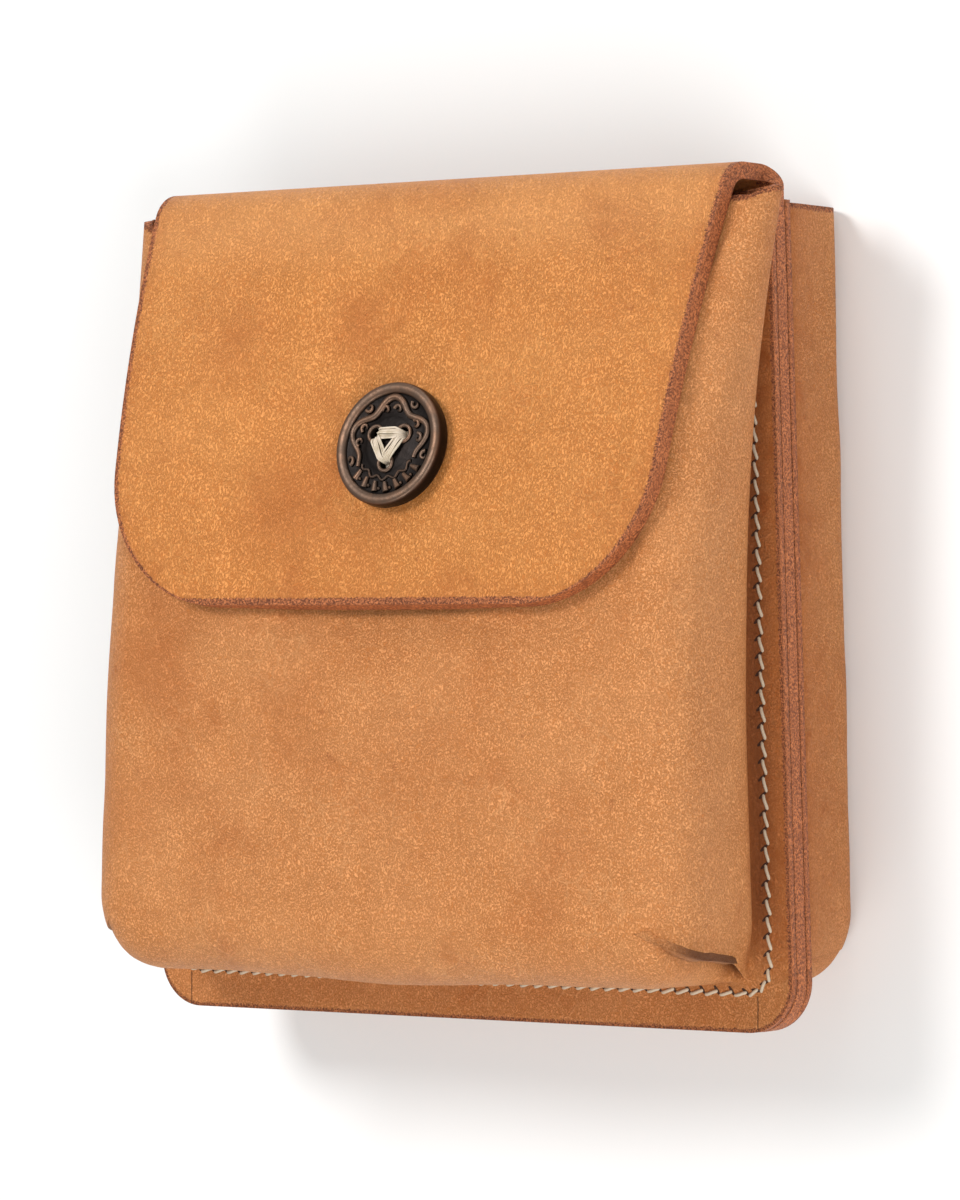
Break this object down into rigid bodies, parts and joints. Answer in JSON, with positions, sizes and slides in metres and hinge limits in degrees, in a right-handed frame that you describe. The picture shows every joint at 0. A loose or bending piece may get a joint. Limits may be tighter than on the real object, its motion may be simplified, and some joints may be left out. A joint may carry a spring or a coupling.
{
  "type": "leather belt pouch",
  "caption": "Flat leather pouch with a moulded pocket on each side of a thick centre panel and a rounded flap with a sewn-on metal button.",
  "frame": {"origin": "middle of the underside of the bounding box, on the flat back face of the rear pocket, with the pouch lying on its back", "axes": "+X across the pouch, +Y up the pouch towards the fold of the flap, +Z out of its front face"},
  "size_m": [0.1562, 0.1674, 0.066],
  "materials": {
    "panel_leather": "thick vegetable tanned leather, fine pebbled grain, burnished brown cut edges",
    "pocket_leather": "thinner vegetable tanned leather, fine matt grain with soft wrinkles",
    "linen_thread": "waxed linen thread",
    "aged_bronze": "dark aged bronze, worn lighter on the raised parts",
    "waxed_cord": "pale waxed cord",
    "magnet_steel": "plated magnet disc"
  },
  "bodies": {
    "pouch": {"centre_panel": "panel_leather", "front_pocket": "pocket_leather", "rear_pocket": "pocket_leather", "front_stitching": "linen_thread", "rear_stitching": "linen_thread", "pocket_magnet": "magnet_steel", "pocket_magnet_patch": "pocket_leather"},
    "flap": {"flap": "panel_leather", "button": "aged_bronze", "button_cord": "waxed_cord", "flap_magnet": "magnet_steel", "flap_magnet_patch": "pocket_leather"}
  },
  "joints": [
    {"name": "flap_hinge", "type": "hinge", "parent": "pouch", "child": "flap", "pos_m": [0, 0.07865, 0.0267], "axis": [-1, 0, 0], "range_deg": [0, 130]}
  ]
}
